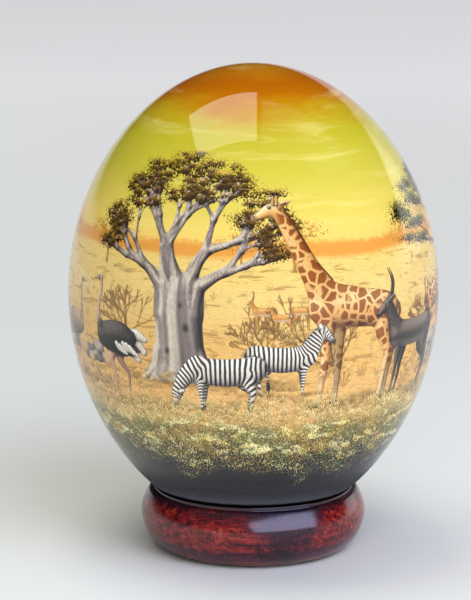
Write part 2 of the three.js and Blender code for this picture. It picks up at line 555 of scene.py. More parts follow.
def zebra(x, y, size, grazing=False, stride=0.03):
    """A zebra that stands or grazes to the left, size mm high at the back."""
    f = Figure(x, y, size)

    def stripes_across(start, towards, begins, spacing):
        """Stripes that cross a limb running from start towards a point, counted on from begins."""
        ux, uy = towards[0] - start[0], towards[1] - start[1]
        return begins + ((f.x - start[0]) * ux + (f.y - start[1]) * uy) / math.hypot(ux, uy) / spacing

    coat = ("6d6266", "dcd2c5", "fffaec")
    for points, shift in ((ZEBRA_FORE, 0.13), (ZEBRA_HIND, -0.1)):
        f.stroke(coat, *leg(points, shift, -stride), dim=0.5, coat=(0, 1, f.y / 0.055))
    f.stroke(coat, (0.60, 0.84, 0.024), (0.675, 0.7, 0.018), (0.685, 0.52, 0.018),
             coat=(0, 1, f.y / 0.05))
    f.stroke(("0d0a0a", "1f1a1a", "4b4244"), (0.685, 0.52, 0.022), (0.69, 0.42, 0.034), (0.68, 0.32, 0.01))
    if grazing:
        poll, nose, eye = (-0.78, 0.32), (-0.852, 0.035), (-0.785, 0.215)
        neck = f.limb((-0.42, 0.76, 0.19), (-0.6, 0.62, 0.148), (-0.74, 0.42, 0.11), (-0.79, 0.3, 0.092))
        head = f.limb((-0.79, 0.27, 0.088), (-0.825, 0.16, 0.07), (-0.85, 0.05, 0.048))
        ear_root, ear_tip = (-0.735, 0.31), (-0.66, 0.335)
        crest = ((-0.77, 0.36, 0.03), (-0.62, 0.60, 0.055), (-0.45, 0.83, 0.055), (-0.3, 0.9, 0.02))
    else:
        poll, nose, eye = (-0.70, 1.17), (-0.925, 0.97), (-0.755, 1.165)
        neck = f.limb((-0.42, 0.78, 0.19), (-0.55, 0.95, 0.145), (-0.65, 1.09, 0.108), (-0.70, 1.17, 0.09))
        head = f.limb((-0.71, 1.175, 0.088), (-0.80, 1.09, 0.072), (-0.9, 0.985, 0.05))
        ear_root, ear_tip = (-0.665, 1.24), (-0.635, 1.35)
        crest = ((-0.70, 1.26, 0.03), (-0.585, 1.16, 0.055), (-0.46, 1.02, 0.055), (-0.3, 0.9, 0.02))
    shoulder, haunch = (-0.36, 0.7), (0.3, 0.64)
    neck_spacing = 0.066
    neck_end = shoulder[0] / ZEBRA_PITCH - math.dist(poll, shoulder) / neck_spacing
    on_neck = stripes_across(shoulder, poll, shoulder[0] / ZEBRA_PITCH, -neck_spacing)
    stripes = (
        f.x / ZEBRA_PITCH,
        on_neck,
        stripes_across(poll, nose, neck_end, -0.05),
        stripes_across((-0.42, 0.6), (-0.42, 0), -0.42 / ZEBRA_PITCH, 0.058),
        stripes_across(haunch, (0.62, 0.2), haunch[0] / ZEBRA_PITCH, 0.085),
    )
    f.stroke(("4a4244", "cfc6bb", "fff5e0"), *crest, coat=(0, 1, on_neck))
    torso = f.limb((0.47, 0.745, 0.215), (0.25, 0.70, 0.225), (0.0, 0.675, 0.232), (-0.25, 0.69, 0.222),
                   (-0.43, 0.73, 0.19))
    parts = [torso, neck, head, f.limb(*leg(ZEBRA_FORE, 0, stride)), f.limb(*leg(ZEBRA_HIND, 0, stride))]
    weights = melt([(part[0],) * 3 for part in parts], 0.045)[3]
    phase = sum(weight * count for weight, count in zip(weights, stripes))
    f.brush(melt(parts, 0.018), coat, flatness=0.95, coat=(0, 1, phase))
    f.dot(*nose, 0.068, "241c1c", 0.9, 0.95)
    ear_middle = ((ear_root[0] + ear_tip[0]) / 2, (ear_root[1] + ear_tip[1]) / 2)
    f.stroke(("51484a", "d8cfc2", "fff8ea"), (*ear_root, 0.03), (*ear_middle, 0.034), (*ear_tip, 0.008))
    f.dot(*eye, 0.02, "0b0808", 0.15)
    f.dot(eye[0] - 0.005, eye[1] + 0.006, 0.006, "ffffff", 0.12)
    for hoof in (-0.45 + 1.5 * stride, 0.425 - stride, -0.32 - 1.5 * stride, 0.325 + stride):
        f.dot(hoof, 0.012, 0.042, "191314", 0.25)
    return f


def ostrich(x, y, size, cock=True):
    """An ostrich that looks to the left, size mm high. The cock is black and white, the hen brown."""
    f = Figure(x, y, size)
    plume = ("0b0a0c", "26221f", "6a6058") if cock else ("3c2c20", "8a6d4f", "c8a67c")
    skin = ("6b4a3c", "c79680", "f0cdb6") if cock else ("5e4c3c", "a98d72", "dcc3a5")
    tail = ("6d6157", "d9cdbb", "fffdf2") if cock else ("5a4634", "a78c6c", "dcc6a2")
    for dx, lead, dim in ((0.07, 0.05, 0.55), (0, -0.03, 1.0)):
        foot = dx + lead
        shank = f.limb(
            (dx - 0.01, 0.42, 0.062), (-0.035 + dx + lead * 0.5, 0.335, 0.035),
            (foot + 0.005, 0.245, 0.017), (foot - 0.005, 0.13, 0.0115), (foot - 0.02, 0.03, 0.0115))
        toe = f.limb(
            (foot - 0.015, 0.025, 0.012), (foot - 0.06, 0.008, 0.009), (foot - 0.085, 0.006, 0.004))
        f.brush(melt([shank, toe], 0.004), skin, dim)
    f.stroke(tail, (0.15, 0.5, 0.06), (0.24, 0.49, 0.055), (0.31, 0.43, 0.03))
    f.stroke(tail, (0.16, 0.55, 0.05), (0.25, 0.56, 0.045), (0.33, 0.53, 0.022))
    f.stroke(tail, (0.12, 0.46, 0.05), (0.2, 0.42, 0.045), (0.255, 0.36, 0.022))
    neck = f.limb((-0.13, 0.55, 0.06), (-0.175, 0.63, 0.03), (-0.178, 0.74, 0.0195), (-0.152, 0.85, 0.0165),
                  (-0.158, 0.93, 0.0165))
    f.brush(melt([neck, f.limb((-0.165, 0.95, 0.026), (-0.198, 0.948, 0.02))], 0.005), skin)
    f.stroke(("5d4634", "b08d64", "ead2a4"), (-0.205, 0.948, 0.0135), (-0.252, 0.935, 0.006))
    for i in range(7):
        at, drop = -0.1 + 0.045 * i, 0.012 * math.sin(2.3 * i)
        f.stroke(plume, (at, 0.46, 0.035), (at + 0.045, 0.4 + 0.012 * abs(i - 3) + drop, 0.032),
                 (at + 0.095, 0.375 + 0.016 * abs(i - 3) + drop, 0.012), shadow=0.3)
    back = f.limb((-0.10, 0.51, 0.10), (-0.02, 0.515, 0.128), (0.08, 0.525, 0.118), (0.17, 0.52, 0.075))
    f.brush(melt([back, f.limb((-0.12, 0.53, 0.075), (-0.155, 0.59, 0.04))], 0.012), plume)
    for i in range(5 if cock else 0):
        at, up = 0.03 + 0.035 * i, 0.468 - 0.012 * math.sin(i * 1.9)
        f.stroke(("857a6e", "e4dacb", "fffef6"), (at, up, 0.016), (at + 0.035, up - 0.038, 0.02),
                 (at + 0.075, up - 0.06, 0.008), shadow=0.3)
    f.dot(-0.183, 0.957, 0.0085, "0a0706", 0.12)
    f.dot(-0.186, 0.960, 0.0026, "ffffff", 0.1)
    return f


ANTELOPE_FORE = ((-0.21, 0.54, 0.062, 0), (-0.222, 0.34, 0.027, 1), (-0.222, 0.28, 0.022, 1),
                 (-0.225, 0.1, 0.0135, 1), (-0.235, 0.012, 0.018, 1))
ANTELOPE_HIND = ((0.225, 0.57, 0.1, 0), (0.2, 0.42, 0.055, 0), (0.27, 0.3, 0.023, -1),
                 (0.245, 0.12, 0.0145, -1), (0.23, 0.012, 0.018, -1))


def antelope(x, y, size, coat=("5d3518", "b8742f", "f0b866"), horns=True, belly=0.85):
    """An antelope that looks to the left, size mm high at the ears. belly is how pale it is below."""
    f = Figure(x, y, size)
    f.stroke(coat, *leg(ANTELOPE_FORE, 0.075, -0.02), dim=0.5)
    f.stroke(coat, *leg(ANTELOPE_HIND, -0.07, -0.03), dim=0.5)
    f.stroke(("4d3b2c", "e5d6bd", "fffaf0"), (0.315, 0.62, 0.014), (0.34, 0.5, 0.014), (0.33, 0.42, 0.02))
    for dx in (0.022, 0.0) if horns else ():
        f.stroke(("0f0b0a", "3a2d25", "8c7a68"), (-0.365 + dx, 0.875, 0.017), (-0.315 + dx, 0.96, 0.013),
                 (-0.30 + dx, 1.05, 0.010), (-0.335 + dx, 1.15, 0.004))
    trunk = f.limb((-0.225, 0.585, 0.108), (-0.05, 0.575, 0.113), (0.1, 0.58, 0.112), (0.235, 0.6, 0.1))
    depth, slope_x, slope_y, weights = melt([
        trunk,
        f.limb((-0.24, 0.63, 0.085), (-0.305, 0.73, 0.06), (-0.35, 0.83, 0.045)),
        f.limb((-0.365, 0.85, 0.045), (-0.41, 0.825, 0.036), (-0.47, 0.775, 0.0205)),
        f.limb(*leg(ANTELOPE_FORE)),
        f.limb(*leg(ANTELOPE_HIND)),
    ], 0.014)
    under = ramp(-trunk[2], 0.35, 0.8) * weights[0] * belly
    f.lay(depth, blend(shaded(tone(slope_x, slope_y, 0.95), *coat), paint("f4e6cc") * 0.7, under))
    f.stroke(coat, (-0.35, 0.875, 0.014), (-0.315, 0.9, 0.02), (-0.275, 0.915, 0.006))
    f.dot(-0.478, 0.77, 0.018, "1c120e", 0.3)
    f.dot(-0.395, 0.857, 0.0105, "090504", 0.12)
    for hoof in (-0.237, 0.228, -0.18, 0.19):
        f.dot(hoof, 0.008, 0.021, "1a110d", 0.25)
    return f


def boughs(rng, start, heading, length, radius, order, droop=0.0, spread=0.5, shrink=0.72):
    """Bough after bough as (order, points of (x, y, radius)), each a little crooked and forking."""
    x, y = start
    points = [(x, y, radius)]
    tip = radius * (0.62 if order else 0.3)
    for step in range(1, 4):
        heading += rng.normal(0, CROOKEDNESS)
        heading += droop * (math.pi / 2 - heading) * 0.1
        heading = min(max(heading, LOWEST_BOUGH), math.pi - LOWEST_BOUGH)
        x += math.cos(heading) * length / 3
        y += math.sin(heading) * length / 3
        points.append((x, y, radius + (tip - radius) * step / 3))
    grown = [(order, points)]
    if order:
        for side in (-1, 1, 0)[: 3 if rng.random() < THREE_FORKS else 2]:
            turn = side * (spread + rng.normal(0, 0.12)) + rng.normal(0, 0.1)
            grown += boughs(rng, (x, y), heading + turn, length * shrink * rng.uniform(0.85, 1.15),
                            tip * rng.uniform(0.72, 0.95), order - 1, droop, spread, shrink)
    return grown


def bind(f, limbs, paints, folds, soft):
    """Paints boughs and trunk as one growth, soft being how far their forks round out."""
    total = np.full(f.x.shape, 1e-30)
    slope_x, slope_y, relief = (np.zeros(f.x.shape) for _ in range(3))
    for seed, points in enumerate(limbs):
        low, high = np.min(points, axis=0), np.max(points, axis=0)
        reach = high[2] + 2.5
        near = np.nonzero((f.x > low[0] - reach) & (f.x < high[0] + reach)
                          & (f.y > low[1] - reach) & (f.y < high[1] + reach))[0]
        if not len(near):
            continue
        d, sx, sy, along, across = limb(f.x[near], f.y[near], points, 3)
        weight = np.exp(np.clip(d / soft, -60, 60))
        total[near] += weight
        slope_x[near] += weight * sx
        slope_y[near] += weight * sy
        width = max(p[2] for p in points)
        if width > 1.0:
            around = across * folds * math.sqrt(width)
            wave = np.sin(around + np.sin(along / width * 0.7 + seed) * 1.5 + seed)
            fine = np.sin(around * 2.6 + np.sin(along / width * 1.3 + seed) * 2 + 2 * seed)
            relief[near] += weight * (0.24 * wave + 0.12 * fine)
    light = tone(slope_x / total, slope_y / total) + relief / total
    return soft * np.log(total), shaded(light, *paints)


def tree_tips(f, grown):
    """Where the leaves of a tree sit: the ends of its last boughs, in mm."""
    return [(points[-1][0] * f.size, points[-1][1] * f.size) for order, points in grown if order <= 1]


def baobab(x, y, size, seed=4, paints=("2b2326", "857871", "d3c5b0")):
    """A stout old tree, size mm high."""
    rng = np.random.default_rng(seed)
    f = Figure(x, y, size / 114)
    grown = []
    for at, heading, length, radius in (
            (-8.5, 2.45, 17, 3.6), (-4.6, 1.98, 21, 4.0), (-0.5, 1.66, 22, 3.8), (4.6, 1.22, 21, 4.2),
            (8.5, 0.72, 17, 3.6)):
        grown += boughs(rng, (at, 46), heading, length, radius, 4, 0.0, 0.48, 0.70)
    trunk = [(0, -4, 18.5), (0, 1, 16.5), (0.1, 7, 14.4), (0.4, 20, 12.8), (0.2, 34, 12.2), (0.4, 44, 10)]
    roots = [[(a, 14, 4.0), (b, 6, 3.4), (c, -1, 2.2)]
             for a, b, c in ((-10, -13, -20), (-4, -6, -8), (5, 7, 9), (10, 14, 21))]
    forks = [[(a * 0.85, 34, 6.2), (a * 1.05, 47, 4.4)] for a in (-8.5, -4.6, -0.5, 4.6, 8.5)]
    limbs = [points for _, points in grown] + [trunk] + roots + forks
    depth, rgb = bind(f, limbs, paints, 1.9, 0.55)
    f.lay(np.minimum(depth, f.y + 1.2), rgb)
    for at, up, radius in ((4, 27, 1.5), (-6, 15, 1.1), (1, 38, 0.9)):
        f.dot(at, up, radius, "171011", 0.5, 0.85, tall=0.7)
    return f, tree_tips(f, grown)


def acacia(x, y, size, seed=1, paints=("2b1a10", "6e4a2c", "c0905a"), order=2):
    """A flat-topped thorn tree, size mm high."""
    rng = np.random.default_rng(seed)
    f = Figure(x, y, size / 100)
    grown = []
    for heading, length, radius in (
            (2.5, 34, 1.8), (2.05, 30, 1.9), (1.6, 28, 1.7), (1.15, 30, 1.9), (0.65, 36, 1.8)):
        grown += boughs(rng, (0.4, 38), heading, length, radius, order, -0.5, 0.4, 0.6)
    limbs = [points for _, points in grown]
    limbs += [[(0, -1, 4.2), (1.4, 12, 2.9), (-0.8, 26, 2.6), (0.4, 36, 2.8), (0.4, 42, 2.2)]]
    limbs += [[(0, 3, 3), (side * 5, 0.4, 1.2)] for side in (-1, 1)]
    depth, rgb = bind(f, limbs, paints, 1.6, 0.45)
    f.lay(np.minimum(depth, f.y + 1.0), rgb)
    return f, tree_tips(f, grown)


def bush(x, y, size, seed=1, paints=("2a1608", "5e3a1c", "a9733a")):
    """A leafless thorn bush of fine twigs, size mm high."""
    rng = np.random.default_rng(seed)
    f = Figure(x, y)
    limbs = []
    for _ in range(7):
        heading = math.pi / 2 + rng.uniform(-1.05, 1.05)
        at = rng.uniform(-0.12, 0.12) * size
        limbs += [points for _, points in boughs(
            rng, (at, -0.5), heading, size * rng.uniform(0.34, 0.5), 0.42, 3, 0.0, 0.42, 0.72)]
    limbs = [[(px, py, max(radius, 0.17)) for px, py, radius in points] for points in limbs]
    depth, rgb = bind(f, limbs, paints, 1.0, 0.06)
    f.lay(np.minimum(depth, y + 0.5), rgb)
    return f, []


def rocks(x, y, size, seed=1, paints=("241d1f", "6f6463", "c9b79c")):
    """A heap of weathered boulders, size mm high."""
    rng = np.random.default_rng(seed)
    f = Figure(x, y)
    for at, rise, wide, tall in ((0.5, 0.3, 0.7, 0.7), (-0.6, 0.16, 0.75, 0.62), (1.25, 0.08, 0.6, 0.42),
                                 (0.0, 0.0, 0.7, 0.42), (-1.35, 0.0, 0.45, 0.3)):
        bend = 0.07 * np.sin(x / size * 5 + seed + at * 9) + 0.05 * np.sin(y / size * 9 + at * 7)
        over, up = (x / size - at) / wide, (y / size - rise) / tall
        spread = (np.abs(over) ** 2.6 + np.abs(up) ** 2.6) ** (1 / 2.6) + bend
        depth = np.minimum((1 - spread) * tall * size, y + 0.6 + 0.3 * np.sin(x * 1.7 + seed))
        crack = np.sin(over * 4.0 + np.sin(up * 5 + at * 3) * 1.4 + seed) * 0.16
        light = tone(np.clip(over * np.abs(over), -0.95, 0.95), np.clip(up, -0.95, 0.95)) + crack
        f.lay(depth, shaded(light + rng.uniform(-0.08, 0.08), *paints), shadow=0.6)
    return f, []


def foliage(x, y, tips, width, height, rng):
    """How far inside a leafy clump each spot is, and how high in its clump."""
    field = np.full(x.shape, -50.0)
    lift = np.zeros(x.shape)
    for tx, ty in tips:
        a, b = width * rng.uniform(0.7, 1.2), height * rng.uniform(0.7, 1.2)
        ox, oy = tx + rng.normal(0, width * 0.15), ty + height * 0.3
        d = (1 - np.hypot((x - ox) / a, (y - oy) / b)) * b
        lift = np.where(d > field, (y - oy) / b, lift)
        field = np.maximum(field, d)
    return field, lift


HAZE = "d9a552"
LEAF_FAR = ("7c4a1a", "a9692a", "c98a3c")
LEAF_GREEN = ("24250f", "5f5f22", "bfae46")
LEAF_DRY = ("33240f", "7b5a22", "d2a24a")


def cast(shell, bearing, foot, width, height, strength):
    """A shadow on the ground beside a foot, and the grass that stands about it."""
    near, x, y = shell.around(bearing, foot, width * 2.5, height * 6)
    field = 1 - np.hypot((x - width * 0.35) / width, (y + height * 0.1) / height)
    shell.shade[near] = np.maximum(shell.shade[near], ramp(field, -0.3, 0.5) * strength)
    low_grass = ramp(np.abs(x) / width, 1.5, 0.9) * ramp(y, height * 0.6 + 2.4, 0.8) * ramp(y, -4, -2)
    shell.straw[near] = np.maximum(shell.straw[near], low_grass * strength)


def stand_animal(shell, painter, bearing, foot, size, flip=False, haze=0.0, **manner):
    """Paints one animal with its feet at a height of the shell, size mm tall."""
    near, x, y = shell.around(bearing, foot, size * 1.15, size * 1.3, flip)
    figure = painter(x, y, size, **manner)
    takes = shell.cover(shell.herd, near, blend(figure.rgb, paint(HAZE), haze), figure.depth)
    at = near[takes]
    coat = figure.coat[takes]
    coat[:, :2] *= 1 - haze
    shell.coat[at] = coat
    shell.figure[at] = np.stack([x[takes] / size, y[takes] / size, np.full(len(at), bearing * 0.37)], -1)
    shell.near_edge[near] = np.minimum(shell.near_edge[near], figure.edge + (haze > 0.2) * 0.15)
    cast(shell, bearing, foot, size * 0.55, size * 0.045, 1 - haze)


def plant_tree(shell, painter, bearing, foot, size, leaf=None, flip=False, haze=0.0, **manner):
    """Paints one tree and its leaves. leaf is a clump's half width, half height and three paints."""
    near, x, y = shell.around(bearing, foot, size * 0.95, size * 1.35, flip)
    figure, tips = painter(x, y, size, **manner)
    shell.cover(shell.wood, near, blend(figure.rgb, paint(HAZE), haze), figure.depth, 0.4)
    shell.leaves[near, 3] = np.minimum(shell.leaves[near, 3], -8 * figure.depth)
    fine = 0.1 if haze < 0.3 else 0.4
    shell.near_edge[near] = np.minimum(shell.near_edge[near], np.abs(figure.depth) + fine)
    if leaf:
        rng = np.random.default_rng(int(abs(bearing) * 7 + size))
        field, lift = foliage(x, y, tips, leaf[0], leaf[1], rng)
        rgb = blend(shaded(lift * 0.85, *leaf[2]), paint(HAZE), haze)
        shell.cover(shell.leaves, near, rgb, field, 0)
    cast(shell, bearing, foot, size * 0.4, size * 0.03, 1 - haze)


def paint_picture(shell):
    """The whole picture, from the far plain to the near one, all round the egg."""
    for bearing, foot, size in (
            (-52, 107, 17), (-4, 108, 13), (12, 107.5, 18), (58, 107, 15), (76, 108, 20),
            (112, 107, 14), (131, 108, 18), (196, 107, 16), (-88, 107.5, 15), (-120, 107, 19)):
        leaf = (2.1 * size / 16, 0.55 * size / 16, LEAF_FAR)
        plant_tree(shell, acacia, bearing, foot, size, leaf, haze=0.5, seed=bearing + 400, order=1)
    for bearing, foot, size, haze in (
            (-41, 84, 14, 0.25), (2, 80, 13, 0.2), (17, 82, 17, 0.2), (24, 76, 15, 0.1), (66, 80, 17, 0.15),
            (116, 80, 15, 0.2), (144, 84, 13, 0.25), (-176, 80, 15, 0.2), (-142, 78, 14, 0.15),
            (-96, 80, 14, 0.15)):
        plant_tree(shell, bush, bearing, foot, size, haze=haze, seed=bearing + 300)
    plant_tree(shell, baobab, -23, 71, 76, (2.6, 1.5, LEAF_DRY), seed=4)
    plant_tree(shell, acacia, 98, 76, 66, (7.2, 2.0, LEAF_GREEN), seed=1)
    plant_tree(shell, acacia, 168, 80, 56, (6.2, 1.8, LEAF_GREEN), seed=5, flip=True)
    plant_tree(shell, baobab, -128, 78, 58, (2.2, 1.3, LEAF_DRY), seed=9, flip=True)
    stand_animal(shell, antelope, 3, 88, 12, False, 0.28)
    stand_animal(shell, antelope, 8.5, 86.5, 11, False, 0.28, horns=False)
    stand_animal(shell, antelope, 14, 88.5, 11, True, 0.28, horns=False)
    for bearing, foot, size, seed in (
            (-58, 73, 7, 3), (70, 72, 9, 5), (128, 74, 8, 8), (-158, 74, 8, 11), (-75, 75, 9, 2)):
        plant_tree(shell, rocks, bearing, foot, size, seed=seed)
    stand_animal(shell, giraffe, 76, 70, 50, True)
    stand_animal(shell, giraffe, 32, 62, 71)
    stand_animal(shell, antelope, 57, 60.5, 40, coat=("0f0c10", "3b3230", "8d7a6a"), belly=0.15)
    stand_animal(shell, zebra, 8.5, 66.5, 18.5, True, stride=0.05)
    stand_animal(shell, zebra, -9, 61, 20.5, grazing=True)
    stand_animal(shell, ostrich, -70, 66, 35, True, cock=False)
    stand_animal(shell, ostrich, -47, 61, 43)
    stand_animal(shell, antelope, 84, 67, 25)
    stand_animal(shell, antelope, 97, 64, 23, horns=False)
    stand_animal(shell, antelope, 108, 67.5, 22, True, horns=False)
    stand_animal(shell, zebra, 138, 66, 20, True)
    stand_animal(shell, zebra, 152, 63, 21, True, grazing=True)
    stand_animal(shell, giraffe, -168, 65, 62, True)
    stand_animal(shell, giraffe, -152, 68, 46, True)
    stand_animal(shell, ostrich, -118, 63, 38)
    stand_animal(shell, ostrich, -104, 62, 33, True, cock=False)
    stand_animal(shell, antelope, -86, 66, 24, True)


# The egg's mesh: a ball of triangles, made finer three times over near the outlines of the motifs.
# Each time has a reach about an outline in mm, and says whether the motifs are filled as well.
EGG_BALL_LEVEL = 6
REFINEMENTS = ((4.0, True), (1.35, True), (0.68, False))

egg_form = bmesh.new()
bmesh.ops.create_icosphere(egg_form, subdivisions=EGG_BALL_LEVEL, radius=1.0)
for reach, filled in REFINEMENTS:
    shell = Shell(np.array([vert.co for vert in egg_form.verts]))
    paint_picture(shell)
    inside = filled & (np.maximum(shell.wood[:, 3], shell.herd[:, 3]) > 0)
    ends = np.array([[vert.index for vert in edge.verts] for edge in egg_form.edges])
    wanted = (shell.near_edge[ends].sum(axis=1) < reach) | inside[ends].any(axis=1)
    edges = [edge for edge, chosen in zip(egg_form.edges, wanted) if chosen]
    bmesh.ops.subdivide_edges(egg_form, edges=edges, cuts=1)
    bmesh.ops.triangulate(egg_form, faces=[face for face in egg_form.faces if len(face.verts) > 3])
    for vert in egg_form.verts:
        vert.co.normalize()
    egg_form.verts.index_update()

ball = np.array([vert.co for vert in egg_form.verts])
shell = Shell(ball)
paint_picture(shell)
for vert, place in zip(egg_form.verts, on_shell(ball) / MM):
    vert.co = place
bmesh.ops.recalc_face_normals(egg_form, faces=egg_form.faces)
egg = put_down("painted_egg", egg_form)
egg_mesh = egg.data
egg_mesh.shade_smooth()
egg_mesh.normals_split_custom_set_from_vertices(shell_normals(ball))
for name, kind, field, values in (
        ("wood", "FLOAT_COLOR", "color", shell.wood), ("leaves", "FLOAT_COLOR", "color", shell.leaves),
        ("herd", "FLOAT_COLOR", "color", shell.herd), ("coat", "FLOAT_VECTOR", "vector", shell.coat),
        ("figure", "FLOAT_VECTOR", "vector", shell.figure),
        ("shade", "FLOAT", "value", shell.shade), ("straw", "FLOAT", "value", shell.straw)):
    egg_mesh.attributes.new(name, kind, "POINT").data.foreach_set(field, values.ravel())


# The egg's finish: sky and ground are mixed here, the motifs are laid on them, and lacquer covers all.
PATCH_BROWN = (0.40, 0.21, 0.12, 1)
lacquer = Finish("lacquered_egg")
spot = lacquer.stretch(lacquer.add("ShaderNodeTexCoord").outputs["Object"], MM, MM, MM)
height = lacquer.add("ShaderNodeSeparateXYZ", {0: spot}).outputs[2]


def painted(name):
    """One layer of the picture, as the mesh holds it."""
    return lacquer.add("ShaderNodeAttribute", attribute_name=name).outputs


def texture(squeeze, scale, detail, roughness, bend=0.0):
    """Noise over the egg, its clouds squeeze times as wide as they are tall."""
    return lacquer.noise(lacquer.stretch(spot, 1, 1, squeeze), scale, detail, roughness, bend)


# Sky: a deep orange crown that thins to a clear yellow, and warm haze over the far plain.
drift = texture(3.2, 0.022, 4.0, 0.55)
sky = lacquer.steps(lacquer.wander(height, drift, 17.0), 100, 170, (
    (100, "efb75c"), (113, "eebf66"), (120, "e4c864"), (128, "d4c152"), (138, "c2b73c"), (148, "b7ab26"),
    (154, "b8981a"), (157, "b67a0a"), (159.5, "b06404"), (163, "ab5c02"), (168, "b4740c")))
sky = lacquer.stain(sky, "f3dd8c", texture(7.0, 0.03, 5.0, 0.6, 0.4), 0.5, 0.72, 0.35)
veil = texture(5.0, 0.05, 4.0, 0.6)
veil_height = lacquer.wander(lacquer.scaled(veil, 5.0, height), lacquer.noise(spot, 0.4, 3.0, 0.7), 5.0)
far_band = lacquer.band(veil_height, 112, 114.5, 117.5, 120.5)
sky = lacquer.dim(lacquer.mix(lacquer.times(far_band, 0.85), sky, "d98c34"), 1.09)

# Ground: sandy gold far off, browner and strewn with strokes of dry grass nearer by.
strokes = texture(6.0, 0.10, 5.0, 0.65, 0.5)
ground = lacquer.steps(lacquer.wander(height, strokes, 12.0), 40, 115, (
    (40, "8a6430"), (52, "cb9650"), (62, "eeb670"), (74, "ecba6c"), (86, "edbf6c"), (98, "f3cf7c"),
    (112, "f4d276")))
fine = texture(3.0, 0.5, 4.0, 0.7, 0.6)
coarseness = lacquer.scaled(lacquer.ramp(height, 106, 62), 0.9, 0.5)
ground = lacquer.dim(ground, lacquer.wander(0.93, fine, coarseness))
ground = lacquer.stain(ground, "f3d490", strokes, 0.56, 0.7, 0.5)
ground = lacquer.stain(ground, "8d5520", strokes, 0.44, 0.34, 0.55)
picture = lacquer.stain(ground, sky, lacquer.scaled(veil, 4.0, height), 112.4, 115.4)
shadow = lacquer.times(painted("shade")["Fac"], lacquer.ramp(fine, 0.25, 0.6))
picture = lacquer.mix(lacquer.times(shadow, 0.75), picture, "4a2c12")


def tufts(size, spikes, share, lift):
    """Fans of blades: how surely a spot is on one, how far up its blade it lies, and the tuft's chance."""
    cells = lacquer.add("ShaderNodeTexVoronoi", {"Vector": spot, "Scale": 1.0 / size, "Randomness": 1.0})
    offset = lacquer.vector("SUBTRACT", spot, cells.outputs["Position"])
    outward = lacquer.vector("NORMALIZE", lacquer.stretch(spot, 1, 1, 0))
    across = lacquer.gauge("DOT_PRODUCT", offset, lacquer.vector("CROSS_PRODUCT", (0, 0, 1), outward))
    upward = lacquer.add("ShaderNodeSeparateXYZ", {0: offset}).outputs[2]
    upward = lacquer.calc("ADD", upward, size * lift)
    turn = lacquer.calc("ARCTAN2", across, upward)
    wild = lacquer.noise(spot, 2.0 / size, 2.0)
    comb = lacquer.calc("SINE", lacquer.scaled(wild, 3.0, lacquer.times(turn, spikes)))
    reach = lacquer.calc("DIVIDE", lacquer.gauge("LENGTH", lacquer.stretch(offset, 1, 1, 0.75)), size)
    inside = lacquer.ramp(lacquer.scaled(comb, 0.1, reach), 0.62, 0.5)
    chance = lacquer.add("ShaderNodeSeparateColor", {0: cells.outputs["Color"]}).outputs
    there = lacquer.ramp(chance[0], 1 - share, 1 - share + 0.02)
    cover = lacquer.times(lacquer.times(lacquer.ramp(comb, -0.15, 0.35), inside), there)
    return cover, lacquer.ramp(lacquer.calc("DIVIDE", upward, size), 0.0, 0.9), chance[1]


def lay_tufts(picture, size, spikes, share, lift, low, high, dark, light, strength):
    """Tufts of grass over the picture, between two heights of the egg."""
    cover, upward, kind = tufts(size, spikes, share, lift)
    belt = lacquer.band(lacquer.wander(height, drift, 8.0), low - 2, low + 3, high - 3, high + 2)
    blade = lacquer.dim(lacquer.mix(upward, dark, light), lacquer.scaled(kind, 0.7, 0.6))
    return lacquer.mix(lacquer.times(lacquer.times(cover, belt), strength), picture, blade)


# Dry tufts of grass stand here and there on the sand.
picture = lay_tufts(picture, 5.0, 14, 0.30, 0.5, 62, 84, "5d3c16", "c08f42", 0.7)
picture = lay_tufts(picture, 2.6, 11, 0.22, 0.5, 74, 104, "7d5420", "c99a4c", 0.6)

# Trees: bark with short strokes, then the dabs of their leaves.
trees = painted("wood")
bark_strokes = lacquer.noise(lacquer.stretch(spot, 1.6, 1.6, 0.5), 1.1, 4.0, 0.7)
bark = lacquer.dim(trees["Color"], lacquer.scaled(bark_strokes, 1.1, 0.45))
picture = lacquer.stain(picture, bark, trees["Alpha"], -0.13, 0.13)
leaves = painted("leaves")
leaf = lacquer.dim(leaves["Color"], lacquer.scaled(lacquer.noise(spot, 2.6, 2.0), 1.9, 0.1))
leaf_cut = lacquer.wander(leaves["Alpha"], lacquer.noise(spot, 1.5, 3.0, 0.65), 9.0)
picture = lacquer.stain(picture, leaf, leaf_cut, -0.15, 0.25)

# Animals: patches and stripes in the hide, broken up by hair.
herd = painted("herd")
marks = lacquer.add("ShaderNodeSeparateXYZ", {0: painted("coat")["Vector"]}).outputs
on_figure = painted("figure")["Vector"]
nets = {"Vector": lacquer.shift(on_figure, 22.0, 0.02), "Scale": 20.0, "Randomness": 0.85}
nets = lacquer.add("ShaderNodeTexVoronoi", nets, feature="DISTANCE_TO_EDGE").outputs["Distance"]
patches = lacquer.times(lacquer.ramp(nets, 0.07, 0.15), marks[0])
hide = lacquer.mix(patches, herd["Color"], lacquer.mix(1.0, herd["Color"], PATCH_BROWN, "MULTIPLY"))
phase = lacquer.scaled(lacquer.noise(on_figure, 9.0, 2.0), 1.1, lacquer.times(marks[2], 2 * math.pi))
stripes = lacquer.times(lacquer.ramp(lacquer.calc("SINE", phase), -0.2, 0.2), marks[1])
hide = lacquer.mix(lacquer.times(stripes, 0.95), hide, "0d0909")
hide = lacquer.dim(hide, lacquer.wander(1.03, texture(0.6, 1.9, 4.0, 0.7), 0.75))
hide = lacquer.dim(hide, lacquer.scaled(lacquer.ramp(herd["Alpha"], -0.1, 0.45), 0.4, 0.6))
picture = lacquer.stain(picture, hide, herd["Alpha"], -0.13, 0.13)

